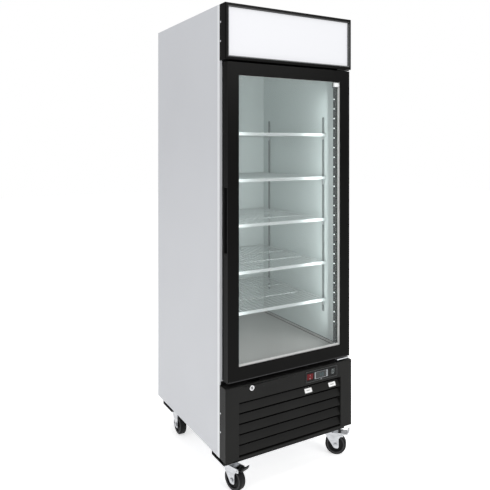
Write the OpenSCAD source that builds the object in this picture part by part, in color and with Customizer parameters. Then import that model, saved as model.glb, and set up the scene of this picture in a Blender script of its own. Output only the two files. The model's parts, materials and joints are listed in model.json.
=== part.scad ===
// Upright one-door glass merchandiser on casters: an insulated cabinet with a lit sign box,
// a glazed swing door, five wire shelves and a condensing unit behind a louvred grille.
// The frame's origin is on the floor under the cabinet's centre, the front faces -Y, +Z is up.

/* [Cabinet] */
// Width of the cabinet
cab_w = 686; // [660:1:720]
// Depth from the grille's front face to the steel back
cab_d = 767; // [740:1:820]
// Height of the cabinet's lower edge above the floor
base_z = 160; // [158:1:170]
// Height of the cabinet's top above the floor
top_z = 2106; // [2100:1:2200]
// Thickness of the insulated side walls
wall_t = 46; // [45:1:46]
// Thickness of the insulated back wall
back_t = 45; // [40:1:60]
// Height of the storage floor
floor_z = 530; // [528:1:540]
// Height of the door opening's upper edge
opening_top = 1825; // [1815:1:1828]
// Thickness of the outer steel skins
skin_t = 1.2; // [1:0.1:2]
// Depth of the door zone in front of the cabinet's face
zone_d = 54; // [52:1:60]
// Gap left behind the back by the wall spacers
spacer_d = 29; // [20:1:40]

/* [Door] */
// Distance from the cabinet's side to the door's side
door_inset = 11; // [8:1:14]
// Height of the door's lower edge
door_z = 493; // [493:1:496]
// Height of the door
door_h = 1363; // [1355:1:1363]
// Thickness of the door frame
door_t = 42; // [40:1:42]
// Width of the door's stiles
stile_w = 55; // [50:1:60]
// Height of the door's top rail
top_rail_h = 54; // [50:1:60]
// Height of the door's bottom rail
bottom_rail_h = 60; // [55:1:65]
// Distance from the door's hinge side to the hinge axis
hinge_in = 18; // [17:1:20]
// Length of the recessed hand grip
grip_len = 285; // [200:1:320]
// Height of the hand grip's middle
grip_z = 1181; // [1100:1:1250]

/* [Sign box] */
// Height of the sign box
sign_h = 241; // [220:1:245]
// Width of the frame around the sign panel
sign_frame = 17; // [12:1:20]

/* [Grille] */
// Height of the grille's upper edge
grille_top = 473; // [470:1:474]
// Spacing of the louvres
louvre_pitch = 45; // [40:1:45]
// Number of louvres
louvre_count = 5; // [3:1:5]
// Gap over each louvre
louvre_gap = 14; // [10:1:15]
// How far each louvre's upper edge lies behind its lower edge
louvre_slope = 15; // [12:1:18]

/* [Shelves] */
// Heights of the five shelves' front rails
shelf_z = [737, 921, 1135, 1341, 1554];
// Distance of the shelves' front edge behind the cabinet's face
shelf_set_back = 77; // [70:1:90]
// Spacing of the thin shelf wires
wire_pitch = 25; // [20:1:40]
// Diameter of the thin shelf wires
wire_d = 3.2; // [3:0.1:4]

/* [Casters] */
// Diameter of the wheels
wheel_d = 100; // [96:1:100]
// Width of the wheels
wheel_w = 32; // [28:1:34]
// Distance of the swivel axes from the cabinet's sides
swivel_in = 67; // [67:1:75]
// Distance from the swivel axis to the wheel's axle
trail = 38; // [34:1:38]
// Directions that the four casters trail in at rest: front left, front right, rear left, rear right
headings = [-72, -42, -90, -74];

/* [Hidden] */
$fn = 48;

steel_grey = [0.80, 0.81, 0.83];
steel_white = [0.93, 0.94, 0.95];
liner_white = [0.84, 0.87, 0.86];
black_paint = [0.12, 0.12, 0.12];
black_plastic = [0.07, 0.07, 0.07];
zinc = [0.78, 0.79, 0.80];
copper = [0.72, 0.43, 0.28];

// Frame planes
lock_proud = 4;
hw = cab_w / 2;
front_y = -(lock_proud + cab_d + spacer_d) / 2 + lock_proud;
face_y = front_y + zone_d;
back_y = front_y + cab_d;
in_x = hw - wall_t;
in_back = back_y - back_t;
in_top = top_z - wall_t;
gap = 0.1;
frame_wrap = 21;
frame_t = 1.5;
leg_w = 25;
machine_top = floor_z - 49;
header_d = 50;
liner_t = 1;

// Door planes
door_hw = hw - door_inset;
door_front = front_y + 1.5;
door_back = door_front + door_t;
door_top = door_z + door_h;
glass_hw = door_hw - stile_w;
glass_z0 = door_z + bottom_rail_h;
glass_z1 = door_top - top_rail_h;
bite = 10;
unit_y0 = door_front + 3;
rear_step = 8;
unit_t = 22;
pane_t = 4;
hinge_x = door_hw - hinge_in;
hinge_y = door_front + door_t / 2;
pin_d = 10;
gasket_w = 15;
gasket_gap = 0.4;
grip_d = 28;
grip_y0 = door_front + 4;
grip_y1 = door_back - 8;

// Sign, grille and controls
sign_z = top_z - sign_h;
sign_in_x = hw - sign_frame;
sign_in_z0 = sign_z + sign_frame;
sign_in_z1 = top_z - sign_frame - 2;
sign_recess = 8.5;
sheet_t = 1.5;
screw_y = face_y - 9;
screw_z = [1947, 2029, 276, 356];
field_x = 277;
field_top = grille_top - 71;
field_bottom = field_top - louvre_count * louvre_pitch - 8;
field_d = 24;
lock_x = -213.5;
lock_z = grille_top - 19;
lock_d = 19;
cam_len = 47;
cam_y = front_y + 22;
cam_t = 3;
control_z = grille_top - 34;
bezel_x = [72, 254];
bezel_h = 50;
bezel_t = 2;
controller_x = 159.5;
controller_w = 76;
controller_h = 31;
power_x = 96;
power_w = 34;
light_x = 228;
light_w = 22;
rocker_h = 30;
rocker_y = front_y + 1;
key_w = 7;
key_h = 11;

// Shelves and standards
shelf_front = face_y + shelf_set_back;
shelf_back = in_back - 12;
shelf_hw = in_x - 8;
rail_h = 14;
rod_d = 6;
wire_sink = 0.5;
rod_drop = wire_sink + wire_d - 0.6 + rod_d / 2;
standard_y = [face_y + 101, in_back - 65];
standard_z = [675, 1642];
standard_w = 12;
standard_t = 5;
slot_first = 12;
slot_pitch = 25;

// Casters
rail_z = base_z - 31;
rail_y = [face_y + 41, back_y - 101];
rail_half = 57;
swivel_x = hw - swivel_in;
plate_t = 4;
crown_z = 104;
axle_z = wheel_d / 2;
axle_d = 12;
leg_in = wheel_w / 2 + 3;
leg_t = 3;
pedal_at = [67, 99];
corner_x = [-swivel_x, swivel_x, -swivel_x, swivel_x];
corner_y = [rail_y[0], rail_y[0], rail_y[1], rail_y[1]];

// Fans
fan_hub = [-120, 250, 320];
fan_d = 254;
evap_fan = [0, -40, 1934];
evap_fan_d = 200;
plenum_z = 1912;

// Solid box between two opposite corners
module block(lo, hi) { translate(lo) cube(hi - lo); }

// The shape and its mirror image across the cabinet's middle plane
module both_sides() {
  children();
  mirror([1, 0, 0]) children();
}

// Cylinder along Y that starts at y0
module y_rod(x, y0, z, d, len) { translate([x, y0, z]) rotate([-90, 0, 0]) cylinder(d = d, h = len); }

// Cylinder along X that starts at x0
module x_rod(x0, y, z, d, len) { translate([x0, y, z]) rotate([0, 90, 0]) cylinder(d = d, h = len); }

// Profile in the YZ plane, drawn out along X from x0
module x_profile(x0, len, points) {
  translate([x0, 0, 0]) rotate([90, 0, 90]) linear_extrude(len) polygon(points);
}

// Flat plate in the XZ plane with round corners, from y0 to y0 + t
module round_plate(x0, x1, z0, z1, y0, t, r) {
  translate([0, y0 + t, 0]) rotate([90, 0, 0]) linear_extrude(t) {
    translate([x0 + r, z0]) square([x1 - x0 - 2 * r, z1 - z0]);
    translate([x0, z0 + r]) square([x1 - x0, z1 - z0 - 2 * r]);
    for (x = [x0 + r, x1 - r], z = [z0 + r, z1 - r]) translate([x, z]) circle(r);
  }
}

// ---- cabinet shell ----

module side_panel() {
  block([hw - skin_t, face_y + frame_wrap + 0.3, base_z], [hw, back_y, top_z]);
  block([hw - 14, face_y + frame_wrap + 1, base_z], [hw - skin_t / 2, back_y - 2, base_z + skin_t]);
}

module side_panel_left() { color(steel_grey) mirror([1, 0, 0]) side_panel(); }

module side_panel_right() { color(steel_grey) side_panel(); }

module back_panel() {
  color(steel_grey) block([-hw + skin_t + gap, back_y - skin_t, machine_top],
    [hw - skin_t - gap, back_y, top_z - skin_t - gap]);
}

module top_panel() {
  color(steel_grey) block([-hw + skin_t + gap, face_y + frame_wrap + 0.3, top_z - skin_t],
    [hw - skin_t - gap, back_y, top_z]);
}

// Foam slabs between the skins and the liner
module foam_core() {
  outer = hw - skin_t - 4 * gap;
  inner = in_x + liner_t + gap;
  y0 = face_y + frame_wrap + 1;
  y1 = back_y - skin_t - gap;
  z1 = top_z - skin_t - gap;
  color("moccasin") {
    both_sides() block([inner, y0, machine_top + gap], [outer, y1, z1]);
    block([-inner + gap, in_back + liner_t + gap, machine_top + gap], [inner - gap, y1, z1]);
    block([-inner + gap, y0, in_top + liner_t + gap], [inner - gap, in_back + liner_t, z1]);
    block([-inner + gap, y0, machine_top + gap], [inner - gap, in_back + liner_t, floor_z - 2.5]);
    block([-in_x + gap, y0, opening_top + frame_t + gap],
      [in_x - gap, face_y + header_d, in_top + liner_t]);
  }
}

module inner_liner() {
  y0 = face_y + frame_wrap + 1;
  color(liner_white) {
    both_sides() block([in_x, y0, floor_z], [in_x + liner_t, in_back, in_top - gap]);
    block([-in_x + gap, in_back, floor_z], [in_x - gap, in_back + liner_t, in_top - gap]);
    block([-in_x + gap, face_y + header_d + gap, in_top], [in_x - gap, in_back - gap, in_top + liner_t]);
    block([-in_x + gap, face_y + header_d + gap, opening_top + frame_t + gap],
      [in_x - gap, face_y + header_d + gap + liner_t, in_top - gap]);
    block([-in_x + gap, y0, opening_top + 0.4], [in_x - gap, face_y + header_d, opening_top + 1.4]);
  }
}

// Steel storage floor with low upturned edges
module floor_pan() {
  y0 = face_y + frame_wrap + 1;
  x1 = in_x - 3;
  y1 = in_back - 3;
  color([0.6, 0.6, 0.58]) difference() {
    block([-x1, y0, floor_z - 2], [x1, y1, floor_z + 12]);
    block([-x1 + 1.2, y0 - 1, floor_z - 0.5], [x1 - 1.2, y1 - 1.2, floor_z + 13]);
  }
}

// White channel around the door opening and down the machine compartment's sides, open at the back
module front_frame() {
  y1 = face_y + frame_wrap;
  color(steel_white) difference() {
    block([-hw, face_y, base_z], [hw, y1, top_z]);
    block([-in_x, face_y - 1, floor_z], [in_x, y1 + 1, opening_top]);
    block([-hw + leg_w, face_y - 1, base_z - 1], [hw - leg_w, y1 + 1, machine_top]);
    difference() {
      block([-hw + frame_t, face_y + frame_t, base_z - 1], [hw - frame_t, y1 + 1, top_z - frame_t]);
      block([-in_x - frame_t, face_y, floor_z - frame_t], [in_x + frame_t, y1 + 2, opening_top + frame_t]);
      block([-hw + leg_w - frame_t, face_y, base_z - 2],
        [hw - leg_w + frame_t, y1 + 2, machine_top + frame_t]);
    }
  }
}

module wall_spacers() {
  color(black_plastic) both_sides() for (z = [620, 1960]) {
    y_rod(hw - 70, back_y, z, 56, 4);
    y_rod(hw - 70, back_y + 3, z, 32, spacer_d - 3);
  }
}

// ---- sign box ----

module sign_housing() {
  y1 = face_y - gap;
  lip = 4;
  color(black_paint) difference() {
    block([-hw, front_y, sign_z], [hw, y1, top_z]);
    block([-hw + sheet_t, front_y + sheet_t, sign_z + sheet_t],
      [hw - sheet_t, y1 - sheet_t, top_z - sheet_t]);
    block([-sign_in_x, front_y - 1, sign_in_z0], [sign_in_x, front_y + 3, sign_in_z1]);
    // chamfer along the lower front edge
    x_profile(-hw - 1, cab_w + 2, [[front_y - 1, sign_z - 1], [front_y + lip, sign_z - 1],
      [front_y - 1, sign_z + lip]]);
    both_sides() block([hw - 60, y1 - 6, sign_z - 1], [hw - 50, y1 + 1, sign_z + 2]);
    screw_holes();
  }
  // lip around the panel's opening
  color(black_paint) difference() {
    block([-sign_in_x - sheet_t, front_y, sign_in_z0 - sheet_t],
      [sign_in_x + sheet_t, front_y + sign_recess, sign_in_z1 + sheet_t]);
    block([-sign_in_x, front_y - 1, sign_in_z0], [sign_in_x, front_y + sign_recess + 1, sign_in_z1]);
  }
}

// Translucent panel behind the frame
module sign_panel() {
  y0 = front_y + sign_recess + gap;
  color("white") block([-hw + 3, y0, sign_z + 3], [hw - 3, y0 + 3, top_z - 3]);
}

// Lamp batten on the back of the sign box
module sign_lamp() {
  y1 = face_y - sheet_t - 2 * gap;
  z = sign_z + sign_h / 2;
  color("white") {
    block([-280, y1 - 14, z - 14], [280, y1, z + 14]);
    x_rod(-262, y1 - 22, z, 15, 524);
    both_sides() block([261, y1 - 31, z - 9], [270, y1 - 13, z + 9]);
  }
}

// Holes for the screws in the sign box's and grille's side returns
module screw_holes() { both_sides() for (z = screw_z) x_rod(hw - 4, screw_y, z, 4.6, 8); }

module trim_screws() {
  color(zinc) both_sides() for (z = screw_z) {
    x_rod(hw - 8, screw_y, z, 4, 8);
    translate([hw, screw_y, z]) rotate([0, 90, 0]) cylinder(d1 = 8, d2 = 5, h = 1.8);
  }
}

// ---- machine compartment ----

module base_deck() {
  z = base_z + skin_t + gap;
  color(zinc) difference() {
    block([-hw + skin_t + 3 * gap, face_y + frame_wrap + 1, z], [hw - skin_t - 3 * gap, back_y - 3, z + 2]);
    for (x = [-210 : 60 : -30]) block([x, 80, z - 1], [x + 30, 300, z + 3]);
  }
}

// Two folded channels that carry the casters
module base_rails() {
  color(black_paint) for (y = rail_y) difference() {
    block([-hw + 12, y - rail_half, rail_z], [hw - 12, y + rail_half, base_z - gap]);
    block([-hw, y - rail_half + 3, rail_z + 3], [hw, y + rail_half - 3, base_z + 1]);
    for (sx = [-1, 1], dx = [-1, 1], dy = [-1, 1])
      translate([sx * swivel_x + dx * 40, y + dy * 30, rail_z - 1]) cylinder(d = 9, h = 6);
  }
}

module louvre(k) {
  z0 = field_top - (k + 1) * louvre_pitch;
  z1 = field_top - k * louvre_pitch - louvre_gap;
  y0 = front_y + 3;
  x_profile(-field_x - 1, 2 * field_x + 2, [[y0, z0], [y0 + sheet_t, z0],
    [y0 + louvre_slope + sheet_t, z1], [y0 + louvre_slope, z1]]);
}

// Folded front cover with inset sloping louvres
module grille_panel() {
  y1 = face_y - gap;
  color(black_paint) {
    difference() {
      block([-hw, front_y, base_z], [hw, y1, grille_top]);
      block([-hw + sheet_t, front_y + sheet_t, base_z + sheet_t],
        [hw - sheet_t, y1 + 1, grille_top - sheet_t]);
      block([-field_x, front_y - 1, field_bottom], [field_x, front_y + sheet_t + 1, field_top]);
      block([bezel_x[0] + 3.5, front_y - 1, control_z - 17], [bezel_x[1] - 3.5, front_y + 2, control_z + 17]);
      y_rod(lock_x, front_y - 1, lock_z, lock_d + 0.4, 4);
      block([lock_x - 9, cam_y - 5, grille_top - 2],
        [lock_x + cam_len + 5, cam_y + cam_t + 5, grille_top + 1]);
      screw_holes();
    }
    difference() {
      block([-field_x - sheet_t, front_y, field_bottom - sheet_t],
        [field_x + sheet_t, front_y + field_d, field_top + sheet_t]);
      block([-field_x, front_y - 1, field_bottom], [field_x, front_y + field_d + 1, field_top]);
    }
    for (k = [0 : louvre_count - 1]) louvre(k);
  }
}

// Sealed compressor: a domed pot on a foot plate with rubber mounts
module compressor() {
  cx = 165;
  cy = 190;
  z0 = base_z + 22;
  r = 78;
  color(black_paint) {
    translate([cx, cy, z0]) rotate_extrude($fn = 64) union() {
      translate([0, 14]) square([r, 118]);
      square([r - 14, 146]);
      translate([r - 14, 14]) circle(14);
      translate([r - 14, 132]) circle(14);
    }
    block([cx - 95, cy - 62, z0 - 4], [cx + 95, cy + 62, z0]);
    block([cx - r - 34, cy - 24, z0 + 50], [cx - r + 4, cy + 24, z0 + 110]);
    for (dx = [-80, 80], dy = [-48, 48])
      translate([cx + dx, cy + dy, base_z + 3.5]) cylinder(d = 24, h = z0 - 4 - base_z - 3.5);
  }
}

// Finned block with its return bends
module condenser_coil() {
  lo = [-250, 60, base_z + 8];
  hi = [20, 130, base_z + 288];
  color([0.35, 0.35, 0.36]) {
    for (x = [lo[0] : 6 : hi[0]]) block([x, lo[1], lo[2]], [x + 1.2, hi[1], hi[2]]);
    block([lo[0], lo[1] + 2, lo[2]], [hi[0] + 1, hi[1] - 2, lo[2] + 3]);
    block([lo[0], lo[1] + 2, hi[2] - 3], [hi[0] + 1, hi[1] - 2, hi[2]]);
    for (k = [0 : 6], y = [80, 110]) x_rod(lo[0] - 14, y, lo[2] + 32 + 36 * k, 9, hi[0] - lo[0] + 28);
    for (k = [0 : 6]) {
      block([lo[0] - 18, 76, lo[2] + 28 + 36 * k], [lo[0] - 12, 114, lo[2] + 36 + 36 * k]);
      block([hi[0] + 12, 76, lo[2] + 28 + 36 * k], [hi[0] + 18, 114, lo[2] + 36 + 36 * k]);
    }
  }
}

// Shroud ring behind the condenser, with the fan motor on three arms
module fan_shroud() {
  x = fan_hub[0];
  z = fan_hub[2];
  y0 = 131;
  color(black_plastic) {
    difference() {
      block([x - 138, y0, base_z + 8], [x + 138, y0 + 3, base_z + 296]);
      y_rod(x, y0 - 1, z, fan_d + 12, 6);
    }
    difference() {
      y_rod(x, y0, z, fan_d + 18, 52);
      y_rod(x, y0 - 1, z, fan_d + 12, 54);
    }
    y_rod(x, y0 + 60, z, 84, 62);
    y_rod(x, y0 + 16, z, 7.9, 50);
    for (a = [90, 210, 330]) translate([x, 0, z]) rotate([0, a, 0])
      block([38, y0 + 64, -8], [(fan_d + 16) / 2, y0 + 68, 8]);
    for (a = [90, 210, 330]) translate([x, 0, z]) rotate([0, a, 0])
      block([(fan_d + 12) / 2, y0 + 48, -8], [(fan_d + 18) / 2, y0 + 68, 8]);
  }
}

// Fan with a hub and tilted blades, turning about Y at hub, reaching to radius r
module fan(hub, r, blades, bore_d) {
  translate(hub) rotate([-90, 0, 0]) difference() {
    union() {
      cylinder(d = 46, h = 26, center = true);
      for (k = [0 : blades - 1]) rotate([0, 0, 360 / blades * k]) translate([20, 0, 0]) rotate([28, 0, 0])
        translate([0, -r * 0.24, -0.9]) cube([r - 24, r * 0.48, 1.8]);
    }
    cylinder(d = bore_d, h = 60, center = true);
  }
}

module condenser_fan() { color([0.55, 0.56, 0.58]) fan([fan_hub[0], 158, fan_hub[2]], fan_d / 2, 5, 8.05); }

// Straight tubes with ball elbows along a list of points
module tube_run(points, d) {
  for (k = [0 : len(points) - 2]) {
    v = points[k + 1] - points[k];
    translate(points[k]) rotate([0, acos(v[2] / norm(v)), atan2(v[1], v[0])]) cylinder(d = d, h = norm(v));
  }
  for (p = points) translate(p) sphere(d = d);
}

module refrigerant_lines() {
  color(copper) {
    tube_run([[248.5, 190, 290], [262, 190, 290], [262, 190, 440], [262, 340, 440], [262, 340, 475]], 10);
    tube_run([[165, 272, 250], [165, 296, 250], [165, 296, 205], [60, 296, 205], [60, 96, 205],
      [42, 96, 205]], 8);
    block([38.5, 92, 201], [42.5, 100, 209]);
  }
}

module rear_grille() {
  color(steel_grey) difference() {
    block([-hw + skin_t + gap, back_y - skin_t, base_z + 4], [hw - skin_t - gap, back_y, machine_top - 0.5]);
    for (x = [-290 : 40 : 270], z = [base_z + 40 : 22 : machine_top - 50])
      if (x > -250 || z > base_z + 100) block([x, back_y - 4, z], [x + 28, back_y + 1, z + 8]);
    y_rod(-280, back_y - 4, base_z + 50, 16.4, 8);
  }
}

// Round gland that the supply lead passes through
module cord_gland() {
  color(black_plastic) difference() {
    union() {
      y_rod(-280, back_y - 12, base_z + 50, 16, 24);
      y_rod(-280, back_y, base_z + 50, 26, 5);
    }
    y_rod(-280, back_y - 13, base_z + 50, 9, 26);
  }
}

// ---- cold side ----

// Sheet plenum under the ceiling, with a round fan opening and a return slot
module evaporator_cover() {
  y0 = face_y + header_d + 3;
  y1 = in_back - 3;
  color(liner_white) difference() {
    block([-in_x + 2, y0, plenum_z], [in_x - 2, y1, in_top - 1]);
    block([-in_x + 3.5, y0 + 1.5, plenum_z + 1.5], [in_x - 3.5, y1 - 1.5, in_top]);
    translate([evap_fan[0], evap_fan[1], plenum_z - 1]) cylinder(d = evap_fan_d + 10, h = 4);
    for (x = [-240 : 40 : 220]) block([x, y1 - 40, plenum_z - 1], [x + 28, y1 - 12, plenum_z + 3]);
  }
}

module evaporator_coil() {
  color([0.75, 0.76, 0.77]) {
    for (x = [-230 : 8 : 230]) block([x, 120, 1932], [x + 1.5, 230, 2050]);
    for (y = [140, 175, 210], z = [1951, 1991, 2031]) x_rod(-245, y, z, 9, 490);
    both_sides() block([240, 118, 1930], [242, 232, 2052]);
    // fan motor over the opening, on a bridge fixed to the plenum's floor
    translate([evap_fan[0], evap_fan[1], 1952]) cylinder(d = 62, h = 44);
    translate([evap_fan[0], evap_fan[1], 1928]) cylinder(d = 5.9, h = 26);
    block([-120, evap_fan[1] - 12, 1996], [120, evap_fan[1] + 12, 1999]);
    both_sides() block([117, evap_fan[1] - 12, plenum_z + 1.6], [120, evap_fan[1] + 12, 1997]);
    block([-12, evap_fan[1], 1996], [12, 122, 1999]);
  }
}

module evaporator_fan() {
  color("white") translate([0, 0, evap_fan[2]]) translate([evap_fan[0], evap_fan[1], 0])
    rotate([90, 0, 0]) fan([0, 0, 0], evap_fan_d / 2 - 2, 5, 6.0);
}

// Slotted uprights, screwed flat to the side walls
module shelf_standards() {
  z0 = standard_z[0];
  z1 = standard_z[1];
  color([0.62, 0.64, 0.64]) both_sides() for (y = standard_y) difference() {
    block([in_x - standard_t, y - standard_w / 2, z0], [in_x - gap, y + standard_w / 2, z1]);
    block([in_x - standard_t + 1.2, y - standard_w / 2 + 1.2, z0 - 1],
      [in_x + 1, y + standard_w / 2 - 1.2, z1 + 1]);
    for (z = [z0 + slot_first : slot_pitch : z1 - slot_first])
      translate([in_x - standard_t - 1, y - 2, z - 6]) cube([3, 4, 12]);
  }
}

module shelf_clips() {
  x = in_x - standard_t - gap;
  color(zinc) both_sides() for (y = standard_y, z = shelf_z) {
    ledge = z + rail_h / 2 - rod_drop - rod_d / 2 - 0.4;
    first = standard_z[0] + slot_first;
    slot = first + slot_pitch * floor((ledge - 4 - first) / slot_pitch);
    block([x - 1.5, y - 7, slot - 5], [x, y + 7, ledge + 2]);
    block([x - 14, y - 7, ledge - 2], [x, y + 7, ledge]);
    block([x - 0.5, y - 1.8, slot - 3], [x + 3, y + 1.8, slot + 3]);
  }
}

// Wire shelf with a flat front rail: thin wires lie across heavier rods. Its side rods rest on the clips
module shelf(z) {
  top = z + rail_h / 2;
  rod_z = top - rod_drop;
  x1 = shelf_hw - rod_d / 2;
  y0 = shelf_front + 2;
  len = shelf_back - shelf_front - 6;
  color("white") {
    block([-in_x + 4, shelf_front, z - rail_h / 2], [in_x - 4, shelf_front + 4, top]);
    both_sides() y_rod(x1, y0, rod_z, rod_d, len);
    for (y = [shelf_front + 190, shelf_front + 370, shelf_back - 8])
      x_rod(-x1, y, rod_z, rod_d - 1, 2 * x1);
    for (x = [-275 : wire_pitch : 275]) y_rod(x, y0, top - wire_sink - wire_d / 2, wire_d, len);
  }
}

module shelf_1() { shelf(shelf_z[0]); }
module shelf_2() { shelf(shelf_z[1]); }
module shelf_3() { shelf(shelf_z[2]); }
module shelf_4() { shelf(shelf_z[3]); }
module shelf_5() { shelf(shelf_z[4]); }

// Lamp channels down the front edges of the side walls, with a row of light points and an end connector
module led_strips() {
  y0 = face_y + 0.6;
  color([0.25, 0.26, 0.27]) both_sides() {
    block([in_x - 5, y0, floor_z + 14], [in_x - gap, y0 + 20, opening_top - 42]);
    for (k = [0 : 23]) translate([in_x - 6, y0 + 8, 645 + 47 * k - 3]) cube([2, 6, 6]);
    block([in_x - 9, y0, opening_top - 41.5], [in_x - gap, y0 + 23, opening_top - 17]);
  }
}

// ---- controls and lock ----

module control_bezel() {
  color(black_plastic) difference() {
    union() {
      round_plate(bezel_x[0], bezel_x[1], control_z - bezel_h / 2, control_z + bezel_h / 2,
        front_y - bezel_t, bezel_t, 6);
      for (r = [[power_x, power_w], [light_x, light_w]])
        block([r[0] - r[1] / 2 - 3, front_y - bezel_t - 1, control_z - rocker_h / 2 - 1.5],
          [r[0] + r[1] / 2 + 3, front_y + 16, control_z + rocker_h / 2 + 1.5]);
    }
    for (r = [[power_x, power_w], [light_x, light_w]])
      block([r[0] - r[1] / 2 - 0.8, front_y - 5, control_z - rocker_h / 2],
        [r[0] + r[1] / 2 + 0.8, front_y + 14, control_z + rocker_h / 2]);
    block([controller_x - 35.5, front_y - 5, control_z - 14.5],
      [controller_x + 35.5, front_y + 1, control_z + 14.5]);
  }
}

module controller_case() {
  x0 = controller_x - controller_w / 2;
  x1 = controller_x + controller_w / 2;
  y0 = front_y - bezel_t - 1.5;
  color([0.66, 0.68, 0.70]) difference() {
    union() {
      round_plate(x0, x1, control_z - controller_h / 2, control_z + controller_h / 2, y0, 1.5, 2);
      block([controller_x - 35, y0 + 1, control_z - 14], [controller_x + 35, front_y + 44, control_z + 14]);
    }
    block([controller_x - 24, y0 - 1, control_z - 11], [controller_x + 24, y0 + 1.2, control_z + 11]);
    for (dz = [-6.8, 6.8]) block([x1 - 10 - key_w / 2 + 4 - 0.3, y0 - 1, control_z + dz - key_h / 2 - 0.3],
      [x1 - 10 + key_w / 2 + 4 + 0.3, y0 + 3.5, control_z + dz + key_h / 2 + 0.3]);
  }
}

module controller_display() {
  y0 = front_y - bezel_t - 1.5;
  color("black") block([controller_x - 23.8, y0 + 0.2, control_z - 10.8],
    [controller_x + 23.8, y0 + 1.15, control_z + 10.8]);
}

// Small rectangular key, proud of the controller by a little more than its travel
module key(dz) {
  x = controller_x + controller_w / 2 - 6;
  y0 = front_y - bezel_t - 1.5;
  color([0.8, 0.82, 0.84]) translate([x, 0, control_z + dz])
    block([-key_w / 2, y0 - 0.5, -key_h / 2], [key_w / 2, y0 + 2.4, key_h / 2]);
}

module key_up() { key(6.8); }

module key_down() { key(-6.8); }

// Rocker that tilts about a pin along X, with its rest side pressed in
module rocker(x, w, colour) {
  z1 = rocker_h / 2 - 1.2;
  color(colour) translate([0, rocker_y, control_z]) x_profile(x - w / 2, w,
    [[-2, -z1], [-3.4, 0], [-4.6, z1], [2, z1], [5, 4], [5, -4], [2, -z1]]);
  color(colour) x_rod(x - w / 2 - 0.6, rocker_y, control_z, 4, w + 1.2);
}

module power_rocker() { rocker(power_x, power_w, "firebrick"); }

module light_rocker() { rocker(light_x, light_w, black_plastic); }

module lock_barrel() {
  color(zinc) difference() {
    union() {
      y_rod(lock_x, front_y - 2, lock_z, 23, 2);
      y_rod(lock_x, front_y - 2, lock_z, lock_d, 22);
    }
    y_rod(lock_x, front_y - 3, lock_z, 12.1, 30);
  }
}

// Keyed plug with the cam that rises into the door's bottom rail
module lock_cylinder() {
  color(zinc) {
    difference() {
      union() {
        y_rod(lock_x, front_y - 4, lock_z, 12, cam_y - front_y + 4);
        y_rod(lock_x, cam_y + cam_t - 0.1, lock_z, 9, 5);
      }
      block([lock_x - 1, front_y - 5, lock_z - 4], [lock_x + 1, front_y + 8, lock_z + 4]);
    }
    block([lock_x - 6.5, cam_y, lock_z - 6], [lock_x + cam_len, cam_y + cam_t, lock_z + 6]);
  }
}

// ---- door ----

// Plates on the cabinet's face with the door's upper and lower pivot pins
module hinge_brackets() {
  x0 = hinge_x - 53;
  x1 = door_hw;
  color(zinc) {
    block([x0, door_front + 3, door_z - 11], [x1, face_y - 0.2, door_z - 7]);
    block([x0, face_y - 3.2, door_z - 19], [x1, face_y - 0.2, door_z - 7]);
    translate([hinge_x, hinge_y, door_z - 11]) cylinder(d = pin_d, h = 25);
    translate([hinge_x, hinge_y, door_z - 7.5]) cylinder(d = 18, h = 7.2);
    block([x0, door_front + 3, door_top + 3.5], [x1, face_y - 0.2, door_top + 7]);
    block([x0, face_y - 3.2, door_top - 10], [x1, face_y - 0.2, door_top + 7]);
    translate([hinge_x, hinge_y, door_top - 14]) cylinder(d = pin_d, h = 18);
  }
}

module door_frame() {
  color(black_paint) difference() {
    block([-door_hw, door_front, door_z], [door_hw, door_back, door_top]);
    block([-glass_hw, door_front - 1, glass_z0], [glass_hw, door_back + 1, glass_z1]);
    block([-glass_hw - bite - 0.5, unit_y0, glass_z0 - bite - 0.5],
      [glass_hw + bite + 0.5, unit_y0 + unit_t, glass_z1 + bite + 0.5]);
    block([-glass_hw - rear_step, unit_y0 + unit_t, glass_z0 - rear_step],
      [glass_hw + rear_step, door_back + 1, glass_z1 + rear_step]);
    // narrow groove around the side faces
    both_sides() block([door_hw - 1.5, door_front + 13, door_z - 1],
      [door_hw + 1, door_front + 16, door_top + 1]);
    // grip pocket, keeper slot and hinge bores
    block([-door_hw - 1, grip_y0 - 0.2, grip_z - grip_len / 2 - 0.2],
      [-door_hw + grip_d + 0.2, grip_y1 + 0.2, grip_z + grip_len / 2 + 0.2]);
    block([lock_x - 9, cam_y - 3, door_z - 1], [lock_x + 36, cam_y + cam_t + 3, door_z + 14]);
    translate([hinge_x, hinge_y, door_z - 1]) cylinder(d = pin_d + 0.1, h = 18);
    translate([hinge_x, hinge_y, door_top - 16]) cylinder(d = pin_d + 0.1, h = 18);
  }
}

// Two panes of the insulating unit
module door_glass() {
  x1 = glass_hw + bite;
  color("lightcyan", 0.3) for (y = [unit_y0 + 0.1, unit_y0 + unit_t - pane_t - 0.1])
    block([-x1, y, glass_z0 - bite], [x1, y + pane_t, glass_z1 + bite]);
}

// Hollow metal spacer between the panes
module glazing_spacer() {
  bar = 8;
  show = 5;
  y0 = unit_y0 + pane_t + 0.2;
  y1 = unit_y0 + unit_t - pane_t - 0.2;
  color([0.8, 0.8, 0.78]) difference() {
    block([-glass_hw - bar + 1, y0, glass_z0 + show - bar], [glass_hw + bar - 1, y1, glass_z1 + bar]);
    block([-glass_hw + 1, y0 - 1, glass_z0 + show], [glass_hw - 1, y1 + 1, glass_z1]);
  }
}

// Hollow magnetic seal around the door's back, inboard of the hinge axis
module door_gasket() {
  x1 = hinge_x - 0.5;
  z0 = door_z + 18;
  z1 = door_top - 12;
  y1 = face_y - gasket_gap;
  color(black_plastic) difference() {
    block([-x1, door_back, z0], [x1, y1, z1]);
    block([-x1 + gasket_w, door_back - 1, z0 + gasket_w], [x1 - gasket_w, y1 + 1, z1 - gasket_w]);
  }
}

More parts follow.
